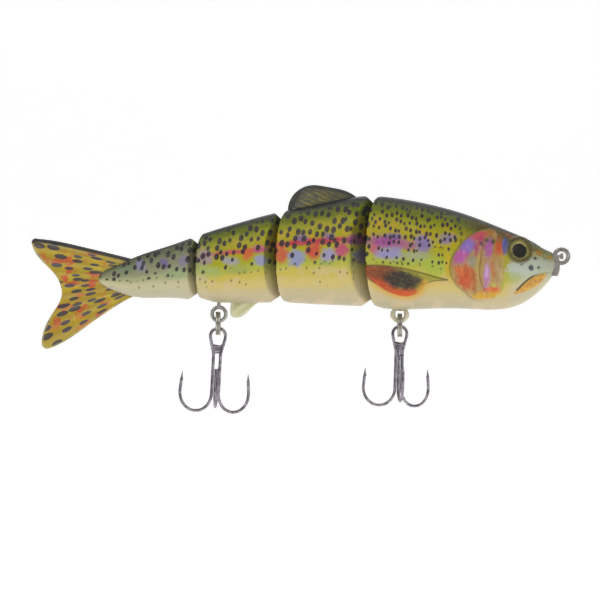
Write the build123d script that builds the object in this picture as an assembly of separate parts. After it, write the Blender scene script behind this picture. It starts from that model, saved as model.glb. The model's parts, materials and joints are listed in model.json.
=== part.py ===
from build123d import *
import math
import os

os.makedirs("parts", exist_ok=True)

# A four-segment hard swimbait shaped as a trout, in millimetres. It faces +X, the back is +Z,
# and the origin is the centre of the line-tie ring on its nose. +Y is the fish's left side.

# Body stations along the fish: position, back height, belly height, half width.
STATIONS = [
    (-2.2, 0.2, -5.0, 2.6),
    (-3.5, 1.5, -7.6, 4.0),
    (-6.0, 2.5, -10.8, 5.6),
    (-10.0, 5.0, -14.6, 7.4),
    (-16.0, 7.9, -18.3, 9.2),
    (-24.0, 11.2, -20.0, 11.0),
    (-36.0, 15.8, -19.7, 12.6),
    (-50.0, 19.6, -19.7, 13.2),
    (-62.0, 21.8, -19.9, 13.0),
    (-75.0, 22.5, -18.8, 12.4),
    (-90.0, 19.8, -18.1, 11.4),
    (-106.0, 16.6, -17.3, 10.1),
    (-120.0, 12.9, -17.6, 8.5),
    (-134.0, 8.6, -16.8, 6.8),
    (-148.0, 3.7, -15.6, 5.1),
    (-160.0, -0.3, -15.3, 3.5),
    (-168.0, -3.8, -12.9, 2.7),
    (-172.3, -6.0, -10.8, 1.8),
    (-173.3, -7.2, -10.0, 1.2),
]
BACK_FULLNESS = 2.15
BELLY_FULLNESS = 2.5
SECTION_STEPS = 12
WALL = 1.9
SIDE_REACH = 20.0
HEIGHT_REACH = 60.0
PRESS_GAP = 0.02

# Body joints: pin position, nose radius of the wedge behind it, notch and wedge half angles,
# where the wedge's back and belly corners start to slope down to the nose, and the pin's ends.
JOINTS = {
    "mid": {
        "pivot": -71.6, "nose": 3.0, "notch": 64.5, "wedge": 43.5,
        "back": (-72.8, 22.5), "belly": (-74.6, -18.8), "slope": 4.6,
        "pin": (-11.0, 14.5), "eyelets": (-6.5, 10.0),
    },
    "rear": {
        "pivot": -105.9, "nose": 2.6, "notch": 65.0, "wedge": 44.0,
        "back": (-107.1, 16.3), "belly": (-108.4, -17.3), "slope": 4.0,
        "pin": (-11.0, 10.0), "eyelets": (-7.0, 6.0),
    },
    "tail": {
        "pivot": -137.0, "nose": 2.0, "notch": 66.0, "wedge": 44.5,
        "back": (-138.6, 7.0), "belly": (-139.2, -16.2), "slope": 3.2,
        "pin": (-12.5, 2.5), "eyelets": (-9.6, -0.6),
    },
}
BEHIND = {"head": "mid", "mid": "rear", "rear": "tail"}
JOINT_GAP = 0.5
PIN_RADIUS = 0.75
PIN_RUNNING_GAP = 0.06
EYELET_THICKNESS = 1.0
EYELET_RADIUS = 1.9
EYELET_NECK = 2.4
EYELET_BURIED = 5.0
EYELET_FOOT = 4.4
EYELET_SLOT_GAP = 0.25
EYELET_ROOM = 0.35
EYELET_MOUTH = 2.4

# Belly corners at the rear of each front segment: start, rise over the run to the joint.
BELLY_BREAKS = {"head": (-66.5, -19.6), "mid": (-101.5, -17.5), "rear": (-131.2, -16.9)}
BREAK_RUN = 5.2
BREAK_RISE = 1.6

# Eyes.
EYE_CENTRE = (-16.0, 7.9, 2.2)
EYE_NORMAL = (0.24, 0.93, 0.27)
EYE_RADIUS = 4.2
EYE_SOCKET_DEPTH = 1.5
EYE_DISC_THICKNESS = 0.5
EYE_RIM = 0.7
EYE_DOME = 1.3

# Line tie and nose plate.
TIE_WIRE = 0.55
TIE_SPREAD = 1.75
TIE_BURIED = -9.0
TIE_BAR = (0.9, 2.3)
TIE_BAR_CENTRE = 0.15
NOSE_PLATE_HALF_WIDTH = 3.0
NOSE_PLATE_OUTLINE = [
    (-3.4, 1.0), (-2.0, 1.0), (-1.0, -0.8), (-0.7, -2.8), (-0.9, -5.4), (-1.6, -7.4), (-4.2, -7.4), (-3.4, -4.0),
]

# Split rings: two flat coils side by side, pressed together.
NOSE_RING = {"outer": 3.35, "inner": 1.85, "coil": 0.78}
BELLY_RING = {"outer": 4.5, "inner": 3.3, "coil": 0.89}
COIL_CORNER = 0.18
COIL_END = 40.0
COIL_END_GAP = 0.3
RING_SLOT_HALF_WIDTH = 1.15
RING_SLOT_GAP = 0.35

# Hook hangers on the belly.
FRONT_HANGER = {"x": -60.6, "half_width": 2.45, "bottom": -24.35, "top": -14.6, "wire": 0.8, "corner": 2.3}
REAR_HANGER = {"x": -128.4, "z": -21.7, "radius": 2.6, "top": -8.5, "wire": 0.7}
HANGER_HEAD = (1.25, 1.2)

# Where the belly rings and the hooks sit.
FRONT_RING_CENTRE = (-60.6, 0, -25.9)
REAR_RING_CENTRE = (-128.7, 0, -25.2)
FRONT_HOOK = {"size": 1.0, "axis": (-60.6, 0, -29.8), "drop": 0.0, "lean": 1.8, "turn": 6.0, "third": -4.6}
REAR_HOOK = {"size": 1.05, "axis": (-128.7, 0, -29.1), "drop": -1.6, "lean": 3.0, "turn": 4.0, "third": -11.0}

# Treble hook, measured from the ring wire that it hangs on.
HOOK_WIRE = 0.575
HOOK_EYE_TOP = 4.1
HOOK_EYE_HALF_WIDTH = 3.25
HOOK_NECK_RADIUS = 6.0
HOOK_NECK_TURN = 14.0
HOOK_SHANK_X = 1.25
HOOK_SHANK_TOP = -15.5
HOOK_BEND_CENTRE = -19.9
HOOK_BEND_RADIUS = 6.4
HOOK_POINT_RISE = 7.0
HOOK_POINT_LEAN = 5.0
HOOK_POINT_TAPER = 3.2
HOOK_SPREAD = 30.0
HOOK_SINGLE_RAISE = 2.0

# Ballast: position of the middle, radius, length along the fish.
BALLAST = {
    "head": ((-45.5, 0, -12.6), 3.4, 19.0),
    "mid": ((-89.0, 0, -11.6), 2.8, 11.0),
    "rear": ((-118.6, 0, -12.2), 2.2, 9.0),
}
# Hollow rooms in each segment: rear end, front end, floor.
ROOMS = {
    "head": [(-36.6, -25.0, -30.0), (-53.0, -38.2, -30.0), (-64.4, -54.6, -13.0)],
    "mid": [(-88.2, -81.5, -30.0), (-98.0, -89.8, -30.0)],
    "rear": [(-128.0, -115.0, -8.0)],
}
# Alignment pegs: x, z in solid walls.
PEGS = {
    "head": [(-10.0, -7.5), (-30.0, 11.8), (-37.4, 2.0), (-66.6, 16.0), (-66.6, -12.5)],
    "mid": [(-77.6, 15.0), (-77.6, -12.8), (-100.2, 1.5)],
    "rear": [(-112.2, 9.6), (-112.2, -13.6), (-130.2, 2.0)],
    "tail": [(-143.0, 1.0), (-143.0, -12.6), (-150.5, -6.5)],
}
PEG_RADIUS = 0.9
PEG_HEIGHT = 1.3

# Fins.
FIN_HALF_THICKNESS = 0.55
DORSAL_EDGE = [(-76.2, 21.7), (-80.5, 24.4), (-87.9, 26.1), (-94.6, 26.6), (-97.4, 25.6), (-102.6, 16.9)]
DORSAL_TAB = [(-100.6, 14.2), (-79.4, 18.6)]
ANAL_EDGE = [(-112.0, -16.8), (-117.3, -20.7), (-121.2, -23.1), (-123.6, -22.6), (-124.2, -20.2), (-123.8, -17.0)]
ANAL_TAB = [(-123.0, -14.8), (-114.4, -14.8)]
TAIL_TOP_EDGE = [(-158.5, -1.6), (-165.5, 0.2), (-178.0, 3.2), (-190.5, 5.9), (-196.4, 6.6)]
TAIL_TOP_TIP = (-198.2, 6.3)
TAIL_HIND_EDGE = [(-198.6, 4.6), (-194.4, -2.2), (-188.9, -8.4), (-187.4, -14.6), (-190.9, -21.4), (-194.2, -28.2),
                  (-194.9, -32.4)]
TAIL_LOW_TIP = (-194.0, -34.4)
TAIL_LOW_EDGE = [(-192.0, -34.6), (-187.4, -32.6), (-176.5, -25.2), (-166.5, -18.4), (-158.5, -14.2)]
TAIL_TAB = [(-154.6, -12.4), (-154.6, -3.4)]
TAIL_PINS = {"upper": (-157.0, -5.4), "lower": (-157.0, -10.4)}
TAIL_PIN_RADIUS = 0.6
TAIL_PIN_HALF_LENGTH = 2.4


def blend(low, high, share):
    return low + (high - low) * share


def half_section(x, top, bottom, width):
    """The left half of the body's rounded section, flat on the middle plane."""
    middle = (top + bottom) / 2
    half_height = (top - bottom) / 2
    points = []
    for step in range(SECTION_STEPS + 1):
        angle = math.pi * step / SECTION_STEPS
        upper = step <= SECTION_STEPS / 2
        power = 2 / (BACK_FULLNESS if upper else BELLY_FULLNESS)
        rise = math.copysign(abs(math.cos(angle)) ** power, math.cos(angle))
        points.append((x, width * abs(math.sin(angle)) ** power, middle + half_height * rise))
    points[0] = (x, 0, top)
    points[-1] = (x, 0, bottom)
    skin = Spline(*points)
    return make_face(Wire([skin, Line(points[-1], points[0])]))


def half_body():
    return loft([half_section(*station) for station in STATIONS])


def inner_half():
    """The hollow that a full-length wall of the body's thickness would leave."""
    sections = []
    for x, top, bottom, width in STATIONS[4:15]:
        sections.append(half_section(x, top - WALL, bottom + WALL, width - WALL))
    return loft(sections)


def side_face(*edges):
    return Plane.XZ * make_face(Wire(edges))


def side_plate(points, half_thickness):
    outline = Plane.XZ * make_face(Polyline(*points, close=True))
    return extrude(outline, amount=half_thickness, both=True)


def cross_rod(x, z, radius, half_length):
    """A round rod across the fish."""
    return Location((x, 0, z), (90, 0, 0)) * Cylinder(radius, 2 * half_length)


def upright_rod(x, low, high, radius):
    return Location((x, 0, (low + high) / 2)) * Cylinder(radius, high - low)


def long_rod(centre, radius, length):
    return Location(centre, (0, 90, 0)) * Cylinder(radius, length)


def joint_prism(pivot, radius, half_angle):
    """All that lies behind an upright V with a round nose about the hinge pin."""
    angle = math.radians(half_angle)
    near = (pivot + radius * math.sin(angle), radius * math.cos(angle))
    far = (near[0] - 24 * math.cos(angle), near[1] + 24 * math.sin(angle))
    end = STATIONS[-1][0] - 40
    nose = ThreePointArc((near[0], -near[1]), (pivot + radius, 0), near)
    sides = Polyline(near, far, (end, far[1]), (end, -far[1]), (far[0], -far[1]), (near[0], -near[1]))
    return extrude(make_face(Wire([nose, *sides.edges()])), amount=HEIGHT_REACH, both=True)


def notch(joint):
    return joint_prism(joint["pivot"], joint["nose"] + JOINT_GAP, joint["notch"])


def wedge(joint):
    return joint_prism(joint["pivot"], joint["nose"], joint["wedge"])


def corner_slopes(joint):
    """What is cut off above and below a wedge so that its nose is lower than the body."""
    nose = joint["pivot"] + joint["nose"]
    cuts = []
    for (x, z), out in ((joint["back"], 1), (joint["belly"], -1)):
        slope = joint["slope"]
        cuts.append(side_plate([
            (x - 1.2, z + 0.5 * out), (x, z - 0.4 * out), (nose, z - slope * out), (nose + 6, z - slope * out),
            (nose + 6, z + 12 * out), (x - 1.2, z + 12 * out),
        ], SIDE_REACH))
    return cuts


def belly_break(start):
    x, z = start
    return side_plate([
        (x + 1.0, z - 0.6), (x, z), (x - BREAK_RUN, z + BREAK_RISE), (x - 2 * BREAK_RUN, z + 2 * BREAK_RISE),
        (x - 2 * BREAK_RUN, z - 8), (x + 1.0, z - 8),
    ], SIDE_REACH)


def eyelet_blank(joint, height, gap):
    """A flat hinge eyelet: a ring about the pin, a neck and a foot buried in the segment ahead."""
    pivot = joint["pivot"]
    neck_end = pivot + joint["nose"] + JOINT_GAP + EYELET_BURIED
    thickness = EYELET_THICKNESS + 2 * gap
    ring = Location((pivot, 0, height)) * Cylinder(EYELET_RADIUS + gap, thickness)
    neck = Location(((pivot + neck_end) / 2, 0, height)) * Box(neck_end - pivot, EYELET_NECK + 2 * gap, thickness)
    foot = Location((neck_end - 0.75, 0, height)) * Box(1.5 + 2 * gap, EYELET_FOOT + 2 * gap, thickness)
    return ring + neck + foot


def eyelet(joint, height):
    hole = Location((joint["pivot"], 0, height)) * Cylinder(PIN_RADIUS + PIN_RUNNING_GAP, 4)
    return eyelet_blank(joint, height, 0.0) - hole


def eyelet_slot(joint, height):
    """Room for an eyelet in the wedge's nose: round about the pin, and open ahead of it for the neck's swing."""
    reach = joint["nose"] + 2
    thickness = EYELET_THICKNESS + 2 * EYELET_SLOT_GAP
    pocket = Location((joint["pivot"], 0, height)) * Cylinder(EYELET_RADIUS + EYELET_ROOM, thickness)
    mouth = Location((joint["pivot"] + reach / 2, 0, height)) * Box(reach, 2 * EYELET_MOUTH, thickness)
    return pocket + mouth


def hinge_pin(joint):
    return upright_rod(joint["pivot"], *joint["pin"], PIN_RADIUS)


def pin_hole(joint):
    low, high = joint["pin"]
    return upright_rod(joint["pivot"], low - PRESS_GAP, high + PRESS_GAP, PIN_RADIUS + PRESS_GAP)


def eye_plane(side, depth):
    """A plane square to the eye, a depth below the cheek."""
    x, y, z = EYE_CENTRE
    normal = Vector(EYE_NORMAL[0], side * EYE_NORMAL[1], EYE_NORMAL[2]).normalized()
    return Plane(origin=Vector(x, side * y, z) - normal * depth, z_dir=normal)


def eye_socket(side):
    room = EYE_SOCKET_DEPTH + 6
    return eye_plane(side, EYE_SOCKET_DEPTH - room / 2) * Cylinder(EYE_RADIUS + PRESS_GAP, room)


def eye_disc(side):
    return eye_plane(side, EYE_SOCKET_DEPTH - EYE_DISC_THICKNESS / 2) * Cylinder(EYE_RADIUS, EYE_DISC_THICKNESS)


def eye_lens(side):
    """A clear domed cap over the printed disc."""
    sphere_radius = (EYE_RADIUS**2 + EYE_DOME**2) / (2 * EYE_DOME)
    height = EYE_RIM + EYE_DOME
    barrel = Location((0, 0, height / 2)) * Cylinder(EYE_RADIUS, height)
    dome = Location((0, 0, height - sphere_radius)) * Sphere(sphere_radius)
    return eye_plane(side, EYE_SOCKET_DEPTH - EYE_DISC_THICKNESS) * (barrel & dome)


def tie_arms(gap):
    """The two wires that run from the line tie back into the snout, and their cross foot."""
    length = TIE_BAR_CENTRE - TIE_BURIED
    middle = (TIE_BAR_CENTRE + TIE_BURIED) / 2
    arms = [long_rod((middle, side * TIE_SPREAD, 0), TIE_WIRE + gap, length) for side in (-1, 1)]
    foot = cross_rod(TIE_BURIED, 0, TIE_WIRE + gap, TIE_SPREAD + TIE_WIRE + 0.6)
    return arms[0] + arms[1] + foot


def line_tie():
    """A flat-ended wire eye: the nose ring passes between its arms, round the flattened end."""
    bar = Location((TIE_BAR_CENTRE, 0, 0)) * Box(TIE_BAR[0], 2 * (TIE_SPREAD + TIE_WIRE), TIE_BAR[1])
    bar = fillet(bar.edges().filter_by(Axis.Y), 0.3)
    return bar + tie_arms(0.0)


def nose_ring_room():
    return cross_rod(0, 0, NOSE_RING["outer"] + RING_SLOT_GAP, RING_SLOT_HALF_WIDTH)


def nose_plate():
    plate = side_plate(NOSE_PLATE_OUTLINE, NOSE_PLATE_HALF_WIDTH)
    return plate - nose_ring_room() - tie_arms(PRESS_GAP)


def split_ring(size):
    """A flat ring about Z, grooved between its two coils, with a gap at each end of the wire."""
    outer, inner, coil = size["outer"], size["inner"], size["coil"]
    c = COIL_CORNER
    corners = [
        (inner + c, -coil), (outer - c, -coil), (outer, c - coil), (outer, -c), (outer - c, 0), (outer, c),
        (outer, coil - c), (outer - c, coil), (inner + c, coil), (inner, coil - c), (inner, c), (inner + c, 0),
        (inner, -c), (inner, c - coil),
    ]
    ring = revolve(Plane.XZ * make_face(Polyline(*corners, close=True)), Axis.Z)
    for turn, side in ((0, 1), (COIL_END, -1)):
        gap = Location(((outer + inner) / 2, 0, side * coil / 2)) * Box(outer - inner + 1, COIL_END_GAP, coil)
        ring = ring - Rotation(0, 0, turn) * gap
    return ring


def nose_ring():
    return Rotation(90, 0, 0) * Rotation(0, 0, 60) * split_ring(NOSE_RING)


def belly_ring(centre):
    return Location(centre) * Rotation(0, 90, 0) * Rotation(0, 0, 65) * split_ring(BELLY_RING)


def wire_along(path, radius):
    return sweep(Plane(origin=path @ 0, z_dir=path % 0) * Circle(radius), path=path)


def front_hanger(gap):
    """A U of wire, its legs headed inside the belly."""
    x, half, bottom, top = (FRONT_HANGER[key] for key in ("x", "half_width", "bottom", "top"))
    radius = FRONT_HANGER["wire"] + gap
    loop = Plane.XZ * FilletPolyline((x - half, top), (x - half, bottom), (x + half, bottom), (x + half, top),
                                     radius=FRONT_HANGER["corner"])
    hanger = wire_along(loop, radius)
    head_radius, head_height = HANGER_HEAD
    for side in (-1, 1):
        hanger += upright_rod(x + side * half, top - gap, top + head_height + gap, head_radius + gap)
    return hanger


def rear_hanger(gap):
    """A screw eye: a ring, a shank and ridges that bite in the belly."""
    x, z, radius, top = (REAR_HANGER[key] for key in ("x", "z", "radius", "top"))
    wire = REAR_HANGER["wire"]
    ring = Location((x, 0, z), (90, 0, 0)) * Torus(radius, wire)
    hanger = ring + upright_rod(x, z + radius, top + gap, wire + gap)
    for step in range(4):
        ridge = top - 1.4 * step - 1.0
        hanger += upright_rod(x, ridge - gap, ridge + 0.5 + gap, wire + 0.3 + gap)
    return hanger


def hook_path(shank_top, raise_by, size):
    """Middle line of a shank, its round bend and the straight up to the point's taper."""
    bend_z = (HOOK_BEND_CENTRE + raise_by) * size
    shank = Line((0, shank_top), (0, bend_z))
    turn = JernArc((0, bend_z), (0, -1), HOOK_BEND_RADIUS * size, 180 + HOOK_POINT_LEAN)
    rise = (HOOK_POINT_RISE - HOOK_POINT_TAPER) * size
    point = Line(turn @ 1, turn @ 1 + (turn % 1) * rise)
    return Plane.XZ * Wire([shank, turn, point])


def hook_point(path, size):
    """The tapered point and the barb at the end of a hook's middle line."""
    taper = HOOK_POINT_TAPER * size
    radius = HOOK_WIRE * size
    out = path @ 1 - path @ 0
    base = Plane(origin=path @ 1, x_dir=(out.X, out.Y, 0), z_dir=path % 1)
    spike = base * (Location((0, 0, taper / 2)) * Cone(radius, 0.06, taper))
    barb = base * (Rotation(0, -24, 0) * (Location((-0.62 * radius, 0, -0.1)) * Box(0.3, 0.5, 1.9)))
    return spike + barb


def hook_eye_path(size):
    """Half of the eye and neck of the double hook, from the crown down to the top of its shank."""
    half = (HOOK_EYE_HALF_WIDTH - HOOK_WIRE) * size
    crown_z = (HOOK_EYE_TOP - HOOK_WIRE) * size
    radius = HOOK_NECK_RADIUS * size
    turn = math.radians(HOOK_NECK_TURN)
    run = (half - HOOK_SHANK_X * size - 2 * radius * (1 - math.cos(turn))) / math.sin(turn)
    crown = JernArc((0, crown_z), (1, 0), half, -90)
    inward = JernArc(crown @ 1, crown % 1, radius, -HOOK_NECK_TURN)
    neck = Line(inward @ 1, inward @ 1 + (inward % 1) * run)
    outward = JernArc(neck @ 1, neck % 1, radius, HOOK_NECK_TURN)
    shank = Line(outward @ 1, (HOOK_SHANK_X * size, HOOK_SHANK_TOP * size))
    return Plane.XZ * Wire([crown, inward, neck, outward, shank])


def treble_double(size):
    """One wire bent into an eye with a hook on each end."""
    lower = Location((HOOK_SHANK_X * size, 0, 0)) * Rotation(0, 0, HOOK_SPREAD) * \
        hook_path(HOOK_SHANK_TOP * size, 0, size)
    side_path = Wire([*hook_eye_path(size).edges(), *lower.edges()])
    side = wire_along(side_path, HOOK_WIRE * size) + hook_point(lower, size)
    return side + mirror(side, about=Plane.YZ)


def treble_single(size, top):
    """The third hook, brazed between the two shanks and pointing to the fish's right."""
    path = Rotation(0, 0, -90) * hook_path(top * size, HOOK_SINGLE_RAISE, size)
    return wire_along(path, HOOK_WIRE * size) + hook_point(path, size)


def place_hook(shape, hook):
    return Location(hook["axis"]) * Rotation(0, hook["lean"], 0) * Location((0, 0, hook["drop"])) * \
        Rotation(0, 0, hook["turn"]) * shape


def fin_face(edge, tab):
    return side_face(Spline(*edge), *Polyline(edge[-1], *tab, edge[0]).edges())


def tail_face():
    top = Spline(*TAIL_TOP_EDGE)
    top_tip = ThreePointArc(TAIL_TOP_EDGE[-1], TAIL_TOP_TIP, TAIL_HIND_EDGE[0])
    hind = Spline(*TAIL_HIND_EDGE)
    low_tip = ThreePointArc(TAIL_HIND_EDGE[-1], TAIL_LOW_TIP, TAIL_LOW_EDGE[0])
    low = Spline(*TAIL_LOW_EDGE)
    tab = Polyline(TAIL_LOW_EDGE[-1], *TAIL_TAB, TAIL_TOP_EDGE[0])
    return side_face(top, top_tip, hind, low_tip, low, *tab.edges())


def plate_of(face, gap):
    return extrude(face, amount=FIN_HALF_THICKNESS + gap, both=True)


def room_box(rear, front, floor):
    return Location(((rear + front) / 2, 0, floor + HEIGHT_REACH / 2)) * Box(front - rear, 60, HEIGHT_REACH)


def ballast(name, gap):
    centre, radius, length = BALLAST[name]
    return long_rod(centre, radius + gap, length + 2 * gap)


DORSAL_FACE = fin_face(DORSAL_EDGE, DORSAL_TAB)
ANAL_FACE = fin_face(ANAL_EDGE, ANAL_TAB)
TAIL_FACE = tail_face()


def pockets(name):
    """What is cut out of both halves of a segment for the pieces that it holds."""
    cuts = []
    if name in BALLAST:
        cuts.append(ballast(name, PRESS_GAP))
    if name == "head":
        cuts += [nose_ring_room(), tie_arms(PRESS_GAP), front_hanger(PRESS_GAP)]
        cuts.append(side_plate(NOSE_PLATE_OUTLINE, NOSE_PLATE_HALF_WIDTH + PRESS_GAP))
    if name == "mid":
        cuts.append(plate_of(DORSAL_FACE, PRESS_GAP))
    if name == "rear":
        cuts += [plate_of(ANAL_FACE, PRESS_GAP), rear_hanger(PRESS_GAP)]
    if name == "tail":
        cuts.append(plate_of(TAIL_FACE, PRESS_GAP))
        cuts += [cross_rod(x, z, TAIL_PIN_RADIUS + PRESS_GAP, TAIL_PIN_HALF_LENGTH + PRESS_GAP)
                 for x, z in TAIL_PINS.values()]
    if name in JOINTS:
        joint = JOINTS[name]
        cuts += corner_slopes(joint) + [pin_hole(joint)]
        cuts += [eyelet_slot(joint, height) for height in joint["eyelets"]]
    if name in BELLY_BREAKS:
        behind = JOINTS[BEHIND[name]]
        cuts.append(belly_break(BELLY_BREAKS[name]))
        cuts += [eyelet_blank(behind, height, PRESS_GAP) for height in behind["eyelets"]]
    return cuts


def segment_block(name, whole, hollow):
    """The left half of one segment, before the pieces in it are let in."""
    block = whole
    if name in JOINTS:
        block = block & wedge(JOINTS[name])
    if name in BEHIND:
        block = block - notch(JOINTS[BEHIND[name]])
    for room in ROOMS.get(name, []):
        block = block - (hollow & room_box(*room))
    return block


def shell(name, block, side):
    """One half of a segment, with pegs on the right half and their sockets in the left."""
    half = block if side > 0 else mirror(block, about=Plane.XZ)
    for cut in pockets(name):
        half = half - cut
    if name == "head":
        half = half - eye_socket(side)
    for x, z in PEGS[name]:
        if side > 0:
            half = half - cross_rod(x, z, PEG_RADIUS + PRESS_GAP, PEG_HEIGHT + 0.1)
        else:
            half = half + cross_rod(x, z, PEG_RADIUS, PEG_HEIGHT)
    return half


def save(name, shape):
    solids = shape.solids()
    largest = max(solids, key=lambda solid: solid.volume)
    export_step(largest, f"parts/{name}.step")


WHOLE = half_body()
HOLLOW = inner_half()
SIDES = {"left": 1, "right": -1}

for segment in PEGS:
    half_block = segment_block(segment, WHOLE, HOLLOW)
    for label, side in SIDES.items():
        save(f"{segment}_shell_{label}", shell(segment, half_block, side))

for label, side in SIDES.items():
    save(f"eye_disc_{label}", eye_disc(side))
    save(f"eye_lens_{label}", eye_lens(side))

for segment in BALLAST:
    save(f"{segment}_ballast", ballast(segment, 0.0))

for segment, follower in BEHIND.items():
    joint = JOINTS[follower]
    save(f"{follower}_hinge_pin", hinge_pin(joint))
    for label, height in zip(("lower", "upper"), joint["eyelets"]):
        save(f"{segment}_hinge_eyelet_{label}", eyelet(joint, height))

save("line_tie", line_tie())
save("nose_plate", nose_plate())
save("nose_ring", nose_ring())
save("front_hook_hanger", front_hanger(0.0))
save("rear_hook_hanger", rear_hanger(0.0))
save("front_ring", belly_ring(FRONT_RING_CENTRE))
save("rear_ring", belly_ring(REAR_RING_CENTRE))
save("dorsal_fin", plate_of(DORSAL_FACE, 0.0))
save("anal_fin", plate_of(ANAL_FACE, 0.0))

tail_fin = plate_of(TAIL_FACE, 0.0)
for label, (x, z) in TAIL_PINS.items():
    tail_fin = tail_fin - cross_rod(x, z, TAIL_PIN_RADIUS + PRESS_GAP, TAIL_PIN_HALF_LENGTH)
    save(f"tail_fin_pin_{label}", cross_rod(x, z, TAIL_PIN_RADIUS, TAIL_PIN_HALF_LENGTH))
save("tail_fin", tail_fin)

for label, hook in (("front", FRONT_HOOK), ("rear", REAR_HOOK)):
    save(f"{label}_treble_double", place_hook(treble_double(hook["size"]), hook))
    save(f"{label}_treble_single", place_hook(treble_single(hook["size"], hook["third"]), hook))
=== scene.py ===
import json
import math

import bpy
import numpy as np
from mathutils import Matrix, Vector

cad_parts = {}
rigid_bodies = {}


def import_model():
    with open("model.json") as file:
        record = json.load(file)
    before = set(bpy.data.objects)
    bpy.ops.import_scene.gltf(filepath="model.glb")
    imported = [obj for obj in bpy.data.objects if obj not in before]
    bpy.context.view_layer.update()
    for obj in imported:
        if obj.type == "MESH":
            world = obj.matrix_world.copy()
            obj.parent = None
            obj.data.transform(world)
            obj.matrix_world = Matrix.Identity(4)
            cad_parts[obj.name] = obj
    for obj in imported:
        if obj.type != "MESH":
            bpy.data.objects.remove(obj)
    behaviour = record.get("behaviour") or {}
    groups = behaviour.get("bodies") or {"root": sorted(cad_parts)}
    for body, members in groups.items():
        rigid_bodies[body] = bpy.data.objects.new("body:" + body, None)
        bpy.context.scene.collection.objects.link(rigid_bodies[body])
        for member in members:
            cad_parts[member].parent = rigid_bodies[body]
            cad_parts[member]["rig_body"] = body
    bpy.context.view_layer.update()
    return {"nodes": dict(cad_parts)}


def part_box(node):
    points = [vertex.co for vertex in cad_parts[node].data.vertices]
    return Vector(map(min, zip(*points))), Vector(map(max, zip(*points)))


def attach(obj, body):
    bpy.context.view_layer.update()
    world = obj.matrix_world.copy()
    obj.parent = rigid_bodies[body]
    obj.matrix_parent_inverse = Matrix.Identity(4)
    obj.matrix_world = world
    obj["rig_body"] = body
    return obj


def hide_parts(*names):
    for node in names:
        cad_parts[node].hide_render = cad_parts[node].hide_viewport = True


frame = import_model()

NODES = frame["nodes"]
MM = 0.001

# Body stations in millimetres: position along the fish, back height, belly height, half width.
STATIONS = np.array([
    (-173.3, -7.2, -10.0, 1.2), (-172.3, -6.0, -10.8, 1.8), (-168, -3.8, -12.9, 2.7),
    (-160, -0.3, -15.3, 3.5), (-148, 3.7, -15.6, 5.1), (-134, 8.6, -16.8, 6.8),
    (-120, 12.9, -17.6, 8.5), (-106, 16.6, -17.3, 10.1),
    (-90, 19.8, -18.1, 11.4), (-75, 22.5, -18.8, 12.4), (-62, 21.8, -19.9, 13.0), (-50, 19.6, -19.7, 13.2),
    (-36, 15.8, -19.7, 12.6), (-24, 11.2, -20.0, 11.0), (-16, 7.9, -18.3, 9.2), (-10, 5.0, -14.6, 7.4),
    (-6, 2.5, -10.8, 5.6), (-3.5, 1.5, -7.6, 4.0), (-2.2, 0.2, -5.0, 2.6),
])
BACK_FULLNESS = 2.15
BELLY_FULLNESS = 2.5

# Painted and moulded shapes on the head, in millimetres from the nose ring: (x, z) outlines.
PECTORAL = [(-74.5, -3.9), (-68, -3.6), (-60, -4.6), (-53, -6.3), (-47.5, -7.9), (-43.2, -9.0), (-48, -9.2),
            (-51.6, -10.6), (-53.4, -13.4), (-58.6, -15.0), (-65.5, -13.2), (-70.5, -9.8), (-74.5, -6.6)]
GILL_COVER = [(-24.5, 9.4), (-29.5, 9.7), (-34.6, 7.4), (-38.8, 3.2), (-41.6, -1.6), (-42.0, -6.2),
              (-39.8, -10.4), (-36.4, -13.4), (-33.2, -15.8), (-29.0, -16.0), (-24.6, -14.4),
              (-23.6, -6.0), (-23.4, 3.0)]
CHEEK = [(-22.6, 8.6), (-26.8, 7.4), (-29.8, 3.0), (-31.2, -3.0), (-31.0, -9.0), (-28.2, -14.0),
         (-23.5, -13.8), (-21.8, -8.0), (-21.6, 0.0)]
JAW = [(-6.2, -6.4), (-9.9, -7.2), (-12.6, -8.6), (-15.6, -11.2), (-18.4, -14.0), (-15.8, -13.9),
       (-12.6, -12.7), (-9.4, -10.9), (-7.0, -8.6)]
MOUTH = [(-3.4, -5.9), (-6.4, -6.1), (-9.9, -7.0), (-12.4, -8.3), (-15.0, -10.5), (-17.2, -12.8)]
EYE = (-16.0, 2.2)
EYE_RADIUS = 4.2
NOSTRIL = (-9.2, -0.6)
HANGER_X = -60.6
HANGER_LOOP_Z = -22.05

# How far the moulded details on the skin stand out or sink in, in millimetres.
LATERAL_GROOVE = 0.10
GILL_RISE = 0.62
GILL_GROOVE = 0.30
CHEEK_RISE = 0.28
CHEEK_GROOVE = 0.14
FIN_RISE = 0.34
FIN_RAY_RISE = 0.05
JAW_RISE = 0.22
MOUTH_DEPTH = 0.42
EYE_RIM_RISE = 0.30
EYE_RIM_GROOVE = 0.175
NOSTRIL_DEPTH = 0.5
NOSTRIL_RIM = 0.14
HANGER_BOSS = 0.6

# Voxel sizes of the softened copies, in millimetres.
SHELL_VOXEL = 0.4
FIN_VOXEL = 0.3
HANGER_VOXEL = 0.14

# Points along and around each solder web.
BRAZE_RINGS = 13
BRAZE_SIDES = 28


def srgb(text, alpha=1.0):
    """A six-digit sRGB colour as linear RGBA."""
    values = [int(text[i:i + 2], 16) / 255 for i in (0, 2, 4)]
    linear = [v / 12.92 if v <= 0.04045 else ((v + 0.055) / 1.055) ** 2.4 for v in values]
    return (*linear, alpha)


# ---------------------------------------------------------------- node helpers

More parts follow.
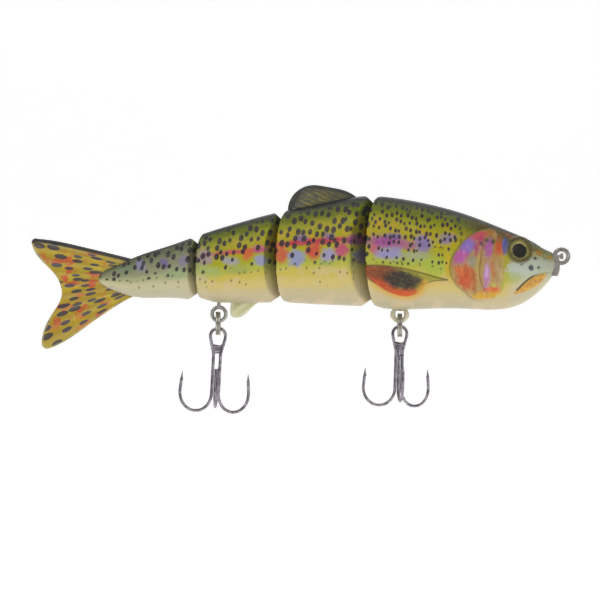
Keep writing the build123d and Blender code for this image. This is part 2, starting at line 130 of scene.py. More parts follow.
class Paint:
    """A node material with short calls for the nodes that the paints use."""

    def __init__(self, name):
        self.material = bpy.data.materials.new(name)
        self.material.use_nodes = True
        self.tree = self.material.node_tree
        self.tree.nodes.clear()
        self.shader = self.tree.nodes.new("ShaderNodeBsdfPrincipled")
        out = self.tree.nodes.new("ShaderNodeOutputMaterial")
        self.tree.links.new(self.shader.outputs[0], out.inputs[0])
        self.object_place = self.tree.nodes.new("ShaderNodeTexCoord").outputs["Object"]

    def set(self, **values):
        for key, value in values.items():
            self.shader.inputs[key.replace("_", " ")].default_value = value

    def put(self, socket, value):
        if isinstance(value, bpy.types.NodeSocket):
            self.tree.links.new(value, socket)
        else:
            socket.default_value = value

    def math(self, operation, *values, clamp=False):
        node = self.tree.nodes.new("ShaderNodeMath")
        node.operation = operation
        node.use_clamp = clamp
        for socket, value in zip(node.inputs, values):
            self.put(socket, value)
        return node.outputs[0]

    def times(self, a, b):
        return self.math("MULTIPLY", a, b)

    def scaled(self, value, factor, shift):
        return self.math("MULTIPLY_ADD", value, factor, shift)

    def in_mm(self):
        """The place on the object in millimetres."""
        return self.place((1000, 1000, 1000))

    def mix(self, factor, a, b):
        node = self.tree.nodes.new("ShaderNodeMix")
        node.data_type = "RGBA"
        self.put(node.inputs["Factor"], factor)
        self.put(node.inputs[6], a)
        self.put(node.inputs[7], b)
        return node.outputs[2]

    def ramp(self, value, stops, smooth=True):
        node = self.tree.nodes.new("ShaderNodeValToRGB")
        band = node.color_ramp
        band.interpolation = "EASE" if smooth else "LINEAR"
        band.elements.remove(band.elements[1])
        band.elements[0].position, band.elements[0].color = stops[0]
        for place, colour in stops[1:]:
            band.elements.new(place).color = colour
        self.put(node.inputs[0], value)
        return node.outputs[0]

    def step(self, value, low, high):
        """0 below low to 1 above high, or the reverse where low is above high."""
        node = self.tree.nodes.new("ShaderNodeMapRange")
        node.interpolation_type = "SMOOTHSTEP"
        self.put(node.inputs[0], value)
        if low < high:
            ends = (low, high, 0.0, 1.0)
        else:
            ends = (high, low, 1.0, 0.0)
        for socket, number in zip(node.inputs[1:5], ends):
            socket.default_value = number
        return node.outputs[0]

    def attribute(self, name, colour=False):
        node = self.tree.nodes.new("ShaderNodeAttribute")
        node.attribute_name = name
        return node.outputs["Color" if colour else "Fac"]

    def place(self, scale=(1, 1, 1), rotation=(0, 0, 0), source=None):
        node = self.tree.nodes.new("ShaderNodeMapping")
        node.inputs["Scale"].default_value = scale
        node.inputs["Rotation"].default_value = rotation
        self.put(node.inputs["Vector"], source or self.object_place)
        return node.outputs[0]

    def noise(self, vector, scale=1.0, detail=3.0, roughness=0.55):
        node = self.tree.nodes.new("ShaderNodeTexNoise")
        self.put(node.inputs["Vector"], vector)
        for key, value in (("Scale", scale), ("Detail", detail), ("Roughness", roughness)):
            node.inputs[key].default_value = value
        return node.outputs[0]

    def cells(self, vector, scale, randomness=0.8, feature="F1"):
        node = self.tree.nodes.new("ShaderNodeTexVoronoi")
        node.voronoi_dimensions = "2D"
        node.feature = feature
        self.put(node.inputs["Vector"], vector)
        node.inputs["Scale"].default_value = scale
        node.inputs["Randomness"].default_value = randomness
        return node

    def bump(self, height, strength, distance):
        node = self.tree.nodes.new("ShaderNodeBump")
        node.inputs["Strength"].default_value = strength
        node.inputs["Distance"].default_value = distance
        self.put(node.inputs["Height"], height)
        self.tree.links.new(node.outputs[0], self.shader.inputs["Normal"])

    def separate(self, vector):
        node = self.tree.nodes.new("ShaderNodeSeparateXYZ")
        self.put(node.inputs[0], vector)
        return node.outputs

    def combine(self, x, y, z):
        node = self.tree.nodes.new("ShaderNodeCombineXYZ")
        for socket, value in zip(node.inputs, (x, y, z)):
            self.put(socket, value)
        return node.outputs[0]


# ---------------------------------------------------------------- shapes seen from the side

def distance_inside(points, outline):
    """Distance in millimetres from each (x, z) point to a closed outline, positive inside it."""
    outline = np.array(outline, float)
    nearest = np.full(len(points), 1e9)
    inside = np.zeros(len(points), bool)
    for (x1, z1), (x2, z2) in zip(outline, np.roll(outline, -1, axis=0)):
        run = np.array([x2 - x1, z2 - z1])
        share = np.clip(((points - (x1, z1)) @ run) / (run @ run), 0, 1)
        nearest = np.minimum(nearest, np.linalg.norm(points - (x1, z1) - share[:, None] * run, axis=1))
        crosses = (points[:, 1] < z1) != (points[:, 1] < z2)
        if z1 != z2:
            meets = x1 + (points[:, 1] - z1) * (x2 - x1) / (z2 - z1)
            inside ^= crosses & (points[:, 0] < meets)
    return np.where(inside, nearest, -nearest)


def distance_to_line(points, line):
    nearest = np.full(len(points), 1e9)
    for start, end in zip(line, line[1:]):
        start, run = np.array(start, float), np.array(end, float) - np.array(start, float)
        share = np.clip(((points - start) @ run) / (run @ run), 0, 1)
        nearest = np.minimum(nearest, np.linalg.norm(points - start - share[:, None] * run, axis=1))
    return nearest


def rounded(points, steps=6):
    """A closed outline through the same corners, rounded between them."""
    corners = np.array(points, float)
    path = []
    for i in range(len(corners)):
        a, b, c, d = (corners[(i + k - 1) % len(corners)] for k in range(4))
        for t in np.linspace(0, 1, steps, endpoint=False):
            path.append(0.5 * (2 * b + (c - a) * t + (2 * a - 5 * b + 4 * c - d) * t**2
                               + (3 * b - a - 3 * c + d) * t**3))
    return path


def smooth_step(value, low, high):
    share = np.clip((value - low) / (high - low), 0, 1)
    return share * share * (3 - 2 * share)


def bell(value, centre, width):
    """1 at the centre, falling off smoothly over the width."""
    return np.exp(-((value - centre) / width) ** 2)


def set_attribute(mesh, name, values):
    attribute = mesh.attributes.new(name, "FLOAT", "POINT")
    attribute.data.foreach_set("value", np.asarray(values, np.float32))


def coordinates(mesh):
    points = np.zeros(len(mesh.vertices) * 3, np.float32)
    mesh.vertices.foreach_get("co", points)
    return points.reshape(-1, 3).astype(float)


def put_coordinates(mesh, points):
    mesh.vertices.foreach_set("co", (points * MM).astype(np.float32).ravel())
    mesh.update()


def normals(mesh):
    values = np.zeros(len(mesh.vertices) * 3, np.float32)
    mesh.vertex_normals.foreach_get("vector", values)
    return values.reshape(-1, 3).astype(float)


def smooth_shade(obj):
    for face in obj.data.polygons:
        face.use_smooth = True


def stand_in(node, name, voxel, passes):
    """A finer, softly rounded copy of a CAD node that takes its place."""
    source = NODES[node]
    obj = bpy.data.objects.new(name, source.data.copy())
    bpy.context.scene.collection.objects.link(obj)
    obj.data.materials.clear()
    remesh = obj.modifiers.new("remesh", "REMESH")
    remesh.mode = "VOXEL"
    remesh.voxel_size = voxel * MM
    remesh.adaptivity = 0.0
    relax = obj.modifiers.new("relax", "SMOOTH")
    relax.factor = 0.5
    relax.iterations = passes
    bpy.context.view_layer.update()
    mesh = bpy.data.meshes.new_from_object(obj.evaluated_get(bpy.context.evaluated_depsgraph_get()))
    obj.modifiers.clear()
    obj.data = mesh
    smooth_shade(obj)
    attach(obj, source["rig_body"])
    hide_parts(node)
    return obj


# ---------------------------------------------------------------- small metal pieces

def hanger_loop():
    """The front hanger as a round loop that narrows where it enters the belly."""
    obj = stand_in("front_hook_hanger", "front_hanger_loop", HANGER_VOXEL, 1)
    points = coordinates(obj.data) / MM
    facing = normals(obj.data)
    z = points[:, 2]
    outside = 1 - smooth_step(z, -18.6, -17.0)
    bulge = bell(z, HANGER_LOOP_Z, 1.5)
    pinch = (1 - np.sqrt(1 - np.clip((z - HANGER_LOOP_Z) / 3.4, 0, 0.8) ** 2)) * outside
    points[:, 0] = HANGER_X + (points[:, 0] - HANGER_X) * (1 + 0.08 * bulge - pinch)
    points += facing * (0.14 * smooth_step(z, -24.0, -23.0) * outside)[:, None]
    put_coordinates(obj.data, points)
    return obj


def braze_web(node, body, top, depth, wire):
    """Solder that fills the gap between a hook's two shanks just under its eye, with a hollow upper edge."""
    points = coordinates(NODES[node].data) / MM
    starts, ends = (points[[edge.vertices[k] for edge in NODES[node].data.edges]] for k in (0, 1))
    rings = []
    for step in range(BRAZE_RINGS):
        share = step / (BRAZE_RINGS - 1)
        z = top - depth * share
        across = (starts[:, 2] < z) != (ends[:, 2] < z)
        start, end = starts[across], ends[across]
        cut = start[:, 0] + (end[:, 0] - start[:, 0]) * (z - start[:, 2]) / (end[:, 2] - start[:, 2])
        low, high = cut.min() + wire, cut.max() - wire
        if rings:
            low, high = max(low, rings[-1][1]), min(high, rings[-1][2])
        rings.append((z, low, high, share))
    verts, faces = [], []
    for z, low, high, share in rings:
        thick = wire * 0.86 * math.sqrt(max(0.02, 1 - (2 * share - 1) ** 6))
        for turn in np.linspace(0, 2 * math.pi, BRAZE_SIDES, endpoint=False):
            across = math.cos(turn)
            waist = 0.72 + 0.28 * across * across
            hollow = 0.75 * across * across * (1 - share) ** 2 - 0.5 * across * across * share ** 2
            x = (low + high) / 2 + (high - low) / 2 * across
            verts.append((x, thick * waist * math.sin(turn), z + hollow))
    for ring in range(BRAZE_RINGS - 1):
        for i in range(BRAZE_SIDES):
            a, b = ring * BRAZE_SIDES + i, ring * BRAZE_SIDES + (i + 1) % BRAZE_SIDES
            faces.append((b, a, a + BRAZE_SIDES, b + BRAZE_SIDES))
    faces.append(tuple(range(BRAZE_SIDES)))
    faces.append(tuple(reversed(range((BRAZE_RINGS - 1) * BRAZE_SIDES, BRAZE_RINGS * BRAZE_SIDES))))
    mesh = bpy.data.meshes.new(body + "_braze")
    mesh.from_pydata([tuple(c * MM for c in v) for v in verts], [], faces)
    obj = bpy.data.objects.new(body + "_braze", mesh)
    bpy.context.scene.collection.objects.link(obj)
    smooth_shade(obj)
    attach(obj, body)
    return obj


# ---------------------------------------------------------------- body shells

HEAD_RELIEF = {
    "gill": rounded(GILL_COVER),
    "cheek": rounded(CHEEK),
    "pectoral": rounded(PECTORAL),
    "jaw": rounded(JAW),
}


def profile(x, column):
    """A station value at each position, on a smooth curve through the stations."""
    places = STATIONS[:, 0]
    values = STATIONS[:, column]
    slopes = np.gradient(values, places)
    x = np.clip(x, places[0], places[-1])
    i = np.clip(np.searchsorted(places, x) - 1, 0, len(places) - 2)
    gap = places[i + 1] - places[i]
    t = (x - places[i]) / gap
    return ((2 * t**3 - 3 * t**2 + 1) * values[i] + (t**3 - 2 * t**2 + t) * gap * slopes[i]
            + (3 * t**2 - 2 * t**3) * values[i + 1] + (t**3 - t**2) * gap * slopes[i + 1])


def body_place(points):
    """Height, 0 at the belly line to 1 at the back line, and depth, 1 at the skin to 0 at the middle."""
    x, y, z = points.T
    back, belly, width = (profile(x, column) for column in (1, 2, 3))
    height = (z - belly) / (back - belly)
    power = np.where(height > 0.5, BACK_FULLNESS, BELLY_FULLNESS)
    depth = (np.abs(y / width) ** power + np.abs(2 * height - 1) ** power) ** (1 / power)
    return height, depth


def shape_shell(obj, is_head):
    """Raises the gill covers, fins and lips in the skin and stores the masks that the paint uses."""
    mesh = obj.data
    points = coordinates(mesh) / MM
    side = points[:, [0, 2]]
    facing = normals(mesh)
    height, depth = body_place(points)
    on_skin = np.maximum(smooth_step(depth, 0.925, 0.965), points[:, 0] > -2.7)
    skin = on_skin * smooth_step(np.abs(points[:, 1]), 1.0, 2.0)
    set_attribute(mesh, "height", height)
    lift = np.zeros(len(points))
    lift -= LATERAL_GROOVE * bell(height, 0.6, 0.012) * (points[:, 0] < -44)
    masks = {name: distance_inside(side, outline) if is_head else np.full(len(points), -9.0)
             for name, outline in HEAD_RELIEF.items()}
    mouth = distance_to_line(side, MOUTH) if is_head else np.full(len(points), 9.0)
    eye = np.hypot(side[:, 0] - EYE[0], side[:, 1] - EYE[1]) if is_head else np.full(len(points), 99.0)
    if is_head:
        gill, cheek, pectoral, jaw = (masks[name] for name in ("gill", "cheek", "pectoral", "jaw"))
        rear_of_gill = smooth_step(-side[:, 0], 25.5, 31)
        rear_of_cheek = smooth_step(-side[:, 0], 22, 27)
        sunken_middle = 1 - 0.45 * smooth_step(gill, 0.6, 4.0)
        lift += GILL_RISE * smooth_step(gill, -0.25, 0.55) * rear_of_gill * sunken_middle
        lift -= GILL_GROOVE * bell(gill, -0.55, 0.5) * rear_of_gill
        lift += CHEEK_RISE * smooth_step(cheek, -0.2, 0.5) * rear_of_cheek
        lift -= CHEEK_GROOVE * bell(cheek, -0.3, 0.4) * rear_of_cheek
        lift += FIN_RISE * smooth_step(pectoral, -0.2, 0.5) * (1 - 0.4 * smooth_step(pectoral, 0.5, 4.0))
        rays = np.sin((side[:, 1] + 9.0 + 0.22 * (side[:, 0] + 45)) * 5.2)
        lift += FIN_RAY_RISE * rays * smooth_step(pectoral, 0.3, 1.2)
        lift += JAW_RISE * smooth_step(jaw, -0.2, 0.6)
        lift -= MOUTH_DEPTH * bell(mouth, 0, 0.34)
        lift += EYE_RIM_RISE * bell(eye, EYE_RADIUS + 0.7, 0.42)
        lift -= EYE_RIM_GROOVE * bell(eye, EYE_RADIUS + 1.7, 0.6)
        nostril = np.hypot((side[:, 0] - NOSTRIL[0]) * 0.8, side[:, 1] - NOSTRIL[1])
        lift -= NOSTRIL_DEPTH * bell(nostril, 0, 0.45)
        lift += NOSTRIL_RIM * bell(nostril, 1.0, 0.3)
    moved = points + facing * (lift * skin)[:, None]
    if is_head:
        from_hanger = np.hypot((points[:, 0] - HANGER_X) / 3.4, points[:, 1] / 2.1)
        near_hanger = (1 - smooth_step(from_hanger, 0.35, 1.0)) * (points[:, 2] < -17.0)
        moved[:, 2] -= HANGER_BOSS * near_hanger * on_skin
    put_coordinates(mesh, moved)
    for name, values in masks.items():
        set_attribute(mesh, name, values)
    set_attribute(mesh, "mouth", mouth)
    set_attribute(mesh, "eye", eye)
    set_attribute(mesh, "skin", on_skin)
    store_patches(mesh, side, masks, is_head)


# Airbrushed patches: colour, x, z, half length, half height, tilt in degrees, strength.
HEAD_PATCHES = [
    ("a8961a", -62.0, 9.3, 13.0, 1.7, 0, 0.55), ("96408c", -66.5, 5.2, 6.4, 2.7, 0, 0.95),
    ("b8566e", -70.4, 2.6, 2.2, 1.9, 0, 0.80), ("a0507e", -57.4, 3.9, 3.4, 2.0, 0, 0.75),
    ("66588e", -63.0, 7.2, 2.8, 1.2, 0, 0.70), ("7866aa", -52.2, 4.6, 3.0, 3.2, 0, 0.85),
    ("8d84bb", -64.8, 0.9, 4.6, 2.4, 0, 0.90), ("98a08e", -55.2, -0.4, 5.2, 2.0, 0, 0.65),
    ("7768a4", -43.6, 6.2, 3.0, 1.9, 8, 0.75), ("9daa34", -58.0, -2.6, 14.0, 1.7, 0, 0.60),
    ("9eae3a", -48.0, -4.8, 4.4, 3.8, 0, 0.85), ("c0a414", -43.2, -3.4, 1.1, 5.0, 0, 0.85),
    ("57451c", -27.0, 10.4, 7.0, 2.6, -22, 0.75), ("6a5a3c", -18.0, 7.6, 5.0, 1.8, -26, 0.70),
]
GILL_PATCHES = [
    ("a68450", -34.0, -3.0, 12.0, 14.0, 0, 1.00), ("a97a22", -29.0, 8.6, 4.2, 1.4, -12, 0.80),
    ("bc3c58", -32.0, 7.0, 4.2, 1.7, 14, 0.90), ("7c64b6", -36.2, 3.4, 3.6, 2.7, 30, 0.95),
    ("b0489c", -38.6, -0.4, 2.9, 2.8, 40, 0.90), ("a4306a", -31.8, 3.0, 1.5, 3.6, -14, 0.80),
    ("a44e9e", -27.9, 2.6, 1.5, 4.0, -10, 0.90), ("bd4a2a", -24.2, 2.8, 1.7, 3.6, -6, 0.90),
    ("8b907c", -34.1, -2.3, 1.7, 2.4, 0, 0.80), ("b09a4e", -31.8, -4.0, 1.1, 6.6, -4, 0.75),
    ("c0502a", -36.4, -8.0, 3.6, 4.6, 24, 0.95), ("cc6630", -38.6, -5.6, 1.5, 2.2, 30, 0.70),
    ("a8682c", -33.6, -8.6, 1.1, 4.0, 8, 0.60), ("b274b2", -28.6, -7.4, 1.2, 4.6, -4, 0.90),
    ("cba6d2", -28.8, -5.8, 0.7, 2.4, -4, 0.70), ("aa8a5c", -24.6, -6.0, 2.5, 6.0, 0, 0.85),
    ("b86a38", -26.4, -4.6, 0.7, 4.6, 6, 0.70), ("c0a878", -23.6, -8.6, 0.8, 3.2, 0, 0.60),
    ("cf5c2a", -26.6, -12.8, 3.2, 1.4, 4, 0.90), ("cf9f2a", -29.0, -15.2, 7.4, 1.8, 4, 0.85),
    ("9cab12", -19.8, -11.2, 3.0, 3.9, -12, 0.92), ("3d3442", -28.7, 5.8, 0.9, 0.8, 0, 0.90),
    ("3d3442", -26.3, 5.2, 0.8, 0.9, 0, 0.90), ("403546", -30.7, 4.4, 0.6, 0.7, 0, 0.80),
]
SNOUT_PATCHES = [
    ("50569a", -21.4, 4.2, 1.3, 2.9, 0, 0.90), ("8c5030", -19.0, 7.4, 3.2, 1.0, -18, 0.60),
    ("b3bbae", -15.0, -4.6, 6.4, 2.6, 8, 0.85), ("a4ac98", -9.0, -2.8, 4.4, 2.2, 0, 0.70),
    ("a8701c", -8.6, 1.2, 1.2, 1.0, 0, 0.75), ("a6741e", -4.6, -0.6, 1.1, 0.8, 0, 0.75),
    ("bcae76", -11.0, 0.6, 1.4, 0.9, -30, 0.50), ("9aa638", -18.6, -8.0, 3.0, 2.2, 0, 0.45),
    ("33363e", -12.0, -4.5, 0.95, 0.9, 0, 0.95), ("33363e", -9.0, -4.4, 0.6, 0.6, 0, 0.95),
    ("33363e", -10.3, -0.8, 0.55, 0.6, 0, 0.90), ("3f4046", -15.4, -3.1, 0.8, 0.45, 10, 0.70),
    ("3b3c42", -6.4, -1.0, 0.4, 0.4, 0, 0.80),
]
FIN_PATCHES = [
    ("9a9434", -59.0, -8.5, 20.0, 9.0, 0, 1.00), ("8c3a1c", -70.0, -7.0, 8.0, 5.0, 0, 0.95),
    ("b8441c", -66.0, -12.6, 9.0, 3.0, -22, 0.95), ("c4501e", -58.4, -14.0, 6.4, 2.2, 2, 0.95),
    ("cf9a2e", -52.6, -11.4, 1.8, 3.0, -30, 0.85), ("6a3a1c", -66.0, -6.4, 6.0, 2.4, 0, 0.60),
    ("2d2622", -59.8, -9.0, 7.2, 3.5, -8, 0.98),
]
BODY_PATCHES = [
    ("b22e46", -93.0, 5.3, 15.0, 1.25, 4, 0.95), ("8e3a78", -77.0, 5.9, 4.2, 1.8, 0, 0.90),
    ("7a5a90", -97.4, 6.9, 2.2, 1.3, 0, 0.80), ("7a5a90", -87.0, 7.4, 2.0, 1.2, 0, 0.75),
    ("c0503a", -104.6, 0.4, 2.5, 3.1, 0, 0.90), ("c2463a", -93.0, 1.6, 2.7, 3.0, 0, 0.95),
    ("b43a6c", -82.6, 2.4, 2.5, 2.9, 0, 0.90), ("888eb8", -99.4, -1.0, 3.2, 3.0, 0, 0.92),
    ("988eb6", -87.6, 0.2, 2.6, 2.4, 0, 0.92), ("786ea0", -75.6, -0.2, 2.4, 2.8, 0, 0.85),
    ("90a45e", -88.0, -2.8, 2.6, 1.0, 0, 0.65), ("a3a24a", -78.6, -3.0, 3.0, 2.0, 0, 0.60),
    ("b84a50", -122.0, 1.5, 13.0, 0.85, 5, 0.90), ("c65a30", -117.4, 1.0, 2.1, 2.2, 0, 0.90),
    ("ae4878", -113.0, 2.4, 2.6, 1.5, 0, 0.85), ("8e8eb8", -112.6, -1.5, 2.4, 2.0, 0, 0.90),
    ("9a98b2", -123.8, -2.0, 3.0, 1.5, 0, 0.70), ("98809e", -133.4, -0.4, 3.2, 2.4, 0, 0.70),
    ("98ac6c", -131.4, -6.0, 4.2, 2.0, 0, 0.60), ("8c9a58", -121.0, -5.4, 5.0, 1.6, 0, 0.50),
    ("8882ae", -157.6, -3.7, 1.6, 2.0, 0, 0.80), ("6a5a90", -148.6, -2.8, 1.5, 1.9, 20, 0.80),
    ("7c7498", -141.4, -1.8, 2.0, 2.2, 0, 0.70), ("8aa070", -144.6, -6.6, 4.0, 1.7, 0, 0.65),
    ("5d7a5c", -163.0, -5.0, 3.6, 1.4, 12, 0.50),
]


def cloud(points, size, seed):
    """Smooth random values from 0 to 1 over the side view, the same each run."""
    table = np.random.RandomState(seed).rand(256, 256)
    place = points / size
    cell = np.floor(place).astype(int)
    share = place - cell
    share = share * share * (3 - 2 * share)
    (i, j), (u, v) = (cell % 255).T, share.T
    low = table[i, j] * (1 - u) + table[i + 1, j] * u
    high = table[i, j + 1] * (1 - u) + table[i + 1, j + 1] * u
    return low * (1 - v) + high * v


def airbrush(side, patches, colour, cover, mask, softness=0.5, unevenness=0.9):
    """Lays patches over each other, with uneven edges."""
    wobble = 0.5 * cloud(side, 1.7, 3) + 0.5 * cloud(side, 0.8, 4) - 0.5
    for tone, x, z, half_length, half_height, tilt, strength in patches:
        turn = math.radians(tilt)
        run, rise = side[:, 0] - x, side[:, 1] - z
        across = (run * math.cos(turn) + rise * math.sin(turn)) / half_length
        up = (rise * math.cos(turn) - run * math.sin(turn)) / half_height
        away = np.hypot(across, up) + unevenness * wobble
        share = (strength * smooth_step(1 + softness - away, 0, 2 * softness) * mask)[:, None]
        colour[:] = colour * (1 - share) + np.array(srgb(tone)[:3]) * share
        cover[:] = cover * (1 - share[:, 0]) + share[:, 0]


def store_patches(mesh, side, masks, is_head):
    colour = np.zeros((len(side), 3))
    cover = np.zeros(len(side))
    if is_head:
        airbrush(side, HEAD_PATCHES, colour, cover, np.ones(len(side)))
        plate = np.maximum(masks["gill"], masks["cheek"])
        airbrush(side, GILL_PATCHES, colour, cover, smooth_step(plate, -0.5, 0.4), 0.45)
        airbrush(side, SNOUT_PATCHES, colour, cover, np.ones(len(side)), 0.3)
        airbrush(side, FIN_PATCHES, colour, cover, smooth_step(masks["pectoral"], -0.7, 0.5), 0.34, 0.35)
    else:
        airbrush(side, BODY_PATCHES, colour, cover, np.ones(len(side)), 0.42)
    colour /= np.maximum(cover, 1e-4)[:, None]
    attribute = mesh.attributes.new("patch_colour", "FLOAT_COLOR", "POINT")
    opaque = np.column_stack([colour, np.ones(len(side))])
    attribute.data.foreach_set("color", opaque.astype(np.float32).ravel())
    set_attribute(mesh, "patch_cover", cover)


def spot_layer(p, flat, scale, tilt, size, seed_shift):
    """Upright oval spots in loose rows: how far inside a spot a point is, and each spot's random numbers."""
    turned = p.place(rotation=(0, 0, tilt), source=flat)
    moved = p.tree.nodes.new("ShaderNodeVectorMath")
    moved.operation = "ADD"
    p.put(moved.inputs[0], p.place((1, 0.70, 1), source=turned))
    moved.inputs[1].default_value = seed_shift
    cells = p.cells(moved.outputs[0], scale, 0.72)
    pick = p.separate(cells.outputs["Color"])
    reach = p.scaled(pick[0], 0.13, size)
    return p.math("SUBTRACT", reach, cells.outputs["Distance"]), pick


def trout_paint():
    """The printed trout: dark back, golden flank, pink and lilac stripe, cream belly, spots."""
    p = Paint("trout_paint")
    x, _, z = p.separate(p.in_mm())
    along = p.times(x, -1.0)
    height = p.attribute("height")
    flat = p.combine(x, z, 0.0)
    wander = p.noise(flat, 0.16, 3.0)
    fine = p.noise(p.in_mm(), 0.9, 4.0)
    level = p.math("ADD", height, p.scaled(wander, 0.10, -0.05))

    flank = p.ramp(level, [
        (0.0, srgb("a89f82")), (0.10, srgb("bbae88")), (0.22, srgb("c8b56c")), (0.33, srgb("c2b048")),
        (0.43, srgb("a8ac3a")), (0.52, srgb("a09e20")), (0.60, srgb("a69c06")), (0.70, srgb("a09602")),
        (0.80, srgb("8a8c02")), (0.89, srgb("626c08")), (0.96, srgb("38441a")),
    ])
    gold = p.times(p.step(p.noise(flat, 0.20, 2.0), 0.48, 0.64), p.step(level, 0.88, 0.74))
    gold = p.times(gold, p.step(level, 0.57, 0.63))
    flank = p.mix(p.times(gold, 0.75), flank, srgb("b69404"))
    warm = p.times(p.step(p.noise(flat, 0.13, 2.0), 0.50, 0.62), p.step(level, 0.40, 0.32))
    flank = p.mix(p.times(warm, 0.5), flank, srgb("c9b490"))
    grey_flank = p.ramp(level, [
        (0.0, srgb("b3ae98")), (0.28, srgb("bdb998")), (0.42, srgb("a4a684")), (0.55, srgb("858c76")),
        (0.72, srgb("747a68")), (0.88, srgb("5c6450")),
    ])
    colour = p.mix(p.times(p.step(along, 130, 142), 0.85), flank, grey_flank)

    # The dark top of the head, and the pale snout and chin.
    head_top = p.times(p.step(along, 46, 26), p.step(level, 0.66, 0.88))
    colour = p.mix(p.times(head_top, 0.8), colour, srgb("47482a"))
    snout_colour = p.ramp(p.scaled(z, 0.04, 0.66), [
        (0.0, srgb("b9b294")), (0.24, srgb("c0b894")), (0.38, srgb("b2b696")), (0.52, srgb("a5aa96")),
        (0.64, srgb("8b8a60")), (0.76, srgb("6b6636")), (0.90, srgb("44432f")),
    ])
    colour = p.mix(p.step(along, 22, 17), colour, snout_colour)

    # Airbrushed patches over it.
    patch = p.attribute("patch_colour", colour=True)
    colour = p.mix(p.attribute("patch_cover"), colour, patch)
    strokes = p.noise(p.place((1.0, 0.30, 1), (0, 0, -0.30), source=flat), 0.75, 2.0, 0.5)
    on_gill, on_cheek = (p.step(p.attribute(name), -0.3, 0.5) for name in ("gill", "cheek"))
    on_plates = p.math("MAXIMUM", on_gill, on_cheek)
    dark_stroke = p.times(p.times(on_plates, p.step(strokes, 0.52, 0.32)), 0.26)
    colour = p.mix(dark_stroke, colour, srgb("7a4a34"))
    light_stroke = p.times(p.times(on_plates, p.step(strokes, 0.54, 0.76)), 0.24)
    colour = p.mix(light_stroke, colour, srgb("d2b89a"))

    # Spots: dense above the stripe, larger towards the tail, few and small below.
    small, small_pick = spot_layer(p, flat, 0.53, 0.10, 0.245, (0.0, 0.0, 0.0))
    large, large_pick = spot_layer(p, flat, 0.40, 0.24, 0.275, (7.0, 3.0, 0.0))
    behind = p.step(along, 71.0, 72.0)
    inside = p.math("ADD", p.times(small, p.math("SUBTRACT", 1.0, behind)), p.times(large, behind))
    pick = p.math("ADD", p.times(small_pick[1], p.math("SUBTRACT", 1.0, behind)),
                  p.times(large_pick[1], behind))
    tail_part = p.step(along, 136, 139)
    low_limit = p.scaled(tail_part, -0.10, 0.585)
    above = p.step(p.math("SUBTRACT", height, low_limit), -0.01, 0.02)
    in_stripe = p.times(p.step(height, 0.38, 0.42), p.math("GREATER_THAN", pick, 0.40))
    keep = p.math("MAXIMUM", p.times(above, p.math("GREATER_THAN", pick, 0.04)), in_stripe)
    keep = p.times(keep, p.step(along, 34, 40))
    keep = p.times(keep, p.step(height, 0.965, 0.94))
    keep = p.times(keep, p.step(p.attribute("gill"), -0.3, -1.6))
    smaller = p.scaled(p.step(height, 0.60, 0.56), -0.05, 0.0)
    inside = p.math("ADD", inside, smaller)
    spot = p.times(p.step(inside, -0.015, 0.055), keep)
    spot = p.times(spot, p.step(p.attribute("pectoral"), 0.2, -0.6))
    spot_colour = p.mix(p.noise(flat, 0.5, 1.0), srgb("241f33"), srgb("2e2428"))
    colour = p.mix(p.times(spot, 0.93), colour, spot_colour)
    specks = p.cells(p.place((1, 0.75, 1), source=flat), 0.40, 0.9)
    speck = p.times(p.step(specks.outputs["Distance"], 0.19, 0.12), p.step(height, 0.16, 0.24))
    speck = p.times(speck, p.step(height, 0.47, 0.43))
    speck_pick = p.separate(specks.outputs["Color"])[0]
    often = p.scaled(p.step(along, 70, 130), -0.25, 0.80)
    often = p.math("SUBTRACT", often, p.times(p.step(height, 0.33, 0.42), 0.35))
    speck = p.times(speck, p.math("GREATER_THAN", speck_pick, often))
    speck = p.times(speck, p.step(p.attribute("pectoral"), -1.0, -2.0))
    speck = p.times(speck, p.step(along, 40, 46))
    colour = p.mix(p.times(speck, 0.7), colour, srgb("5c5640"))

    # The dark line along the back.
    ridge = p.step(p.math("ADD", height, p.scaled(fine, 0.02, -0.01)), 0.945, 0.972)
    colour = p.mix(p.times(ridge, 0.97), colour, srgb("10151f"))

    # A yellow glow on the belly under the pectoral fin.
    fin = p.attribute("pectoral")
    glow = p.times(p.step(fin, -2.8, -0.4), p.step(fin, 0.2, -0.4))
    glow = p.times(glow, p.times(p.step(z, -8.5, -12.0), 0.75))
    colour = p.mix(glow, colour, srgb("cda244"))
    fin_line = p.times(p.step(p.math("ABSOLUTE", fin), 0.45, 0.1), p.step(z, -10.6, -9.6))
    colour = p.mix(p.times(fin_line, 0.6), colour, srgb("4a3a20"))

    # Edge of the gill plates, jaw, mouth line, ring round the eye.
    gill_line = p.times(p.step(p.math("ABSOLUTE", p.math("ADD", p.attribute("gill"), 0.3)), 0.5, 0.1),
                       p.step(along, 30, 35))
    colour = p.mix(p.times(gill_line, 0.5), colour, srgb("6a5030"))
    cheek_line = p.times(p.step(p.math("ABSOLUTE", p.attribute("cheek")), 0.40, 0.1),
                        p.step(along, 26, 29.5))
    colour = p.mix(p.times(cheek_line, 0.6), colour, srgb("7c4a30"))
    jaw = p.mix(p.step(p.noise(flat, 0.7, 2.0), 0.42, 0.6), srgb("cfa02a"), srgb("c07c2c"))
    jaw_edge = p.math("ADD", p.attribute("jaw"), p.scaled(fine, 1.0, -0.5))
    colour = p.mix(p.times(p.step(jaw_edge, -0.5, 0.6), 0.9), colour, jaw)
    lip = p.times(p.step(p.attribute("mouth"), 0.50, 0.15), p.step(along, 8.0, 12.5))
    colour = p.mix(p.times(lip, 0.85), colour, srgb("33302a"))
    colour = p.mix(p.times(p.step(p.attribute("eye"), 5.9, 4.6), 0.7), colour, srgb("55512f"))

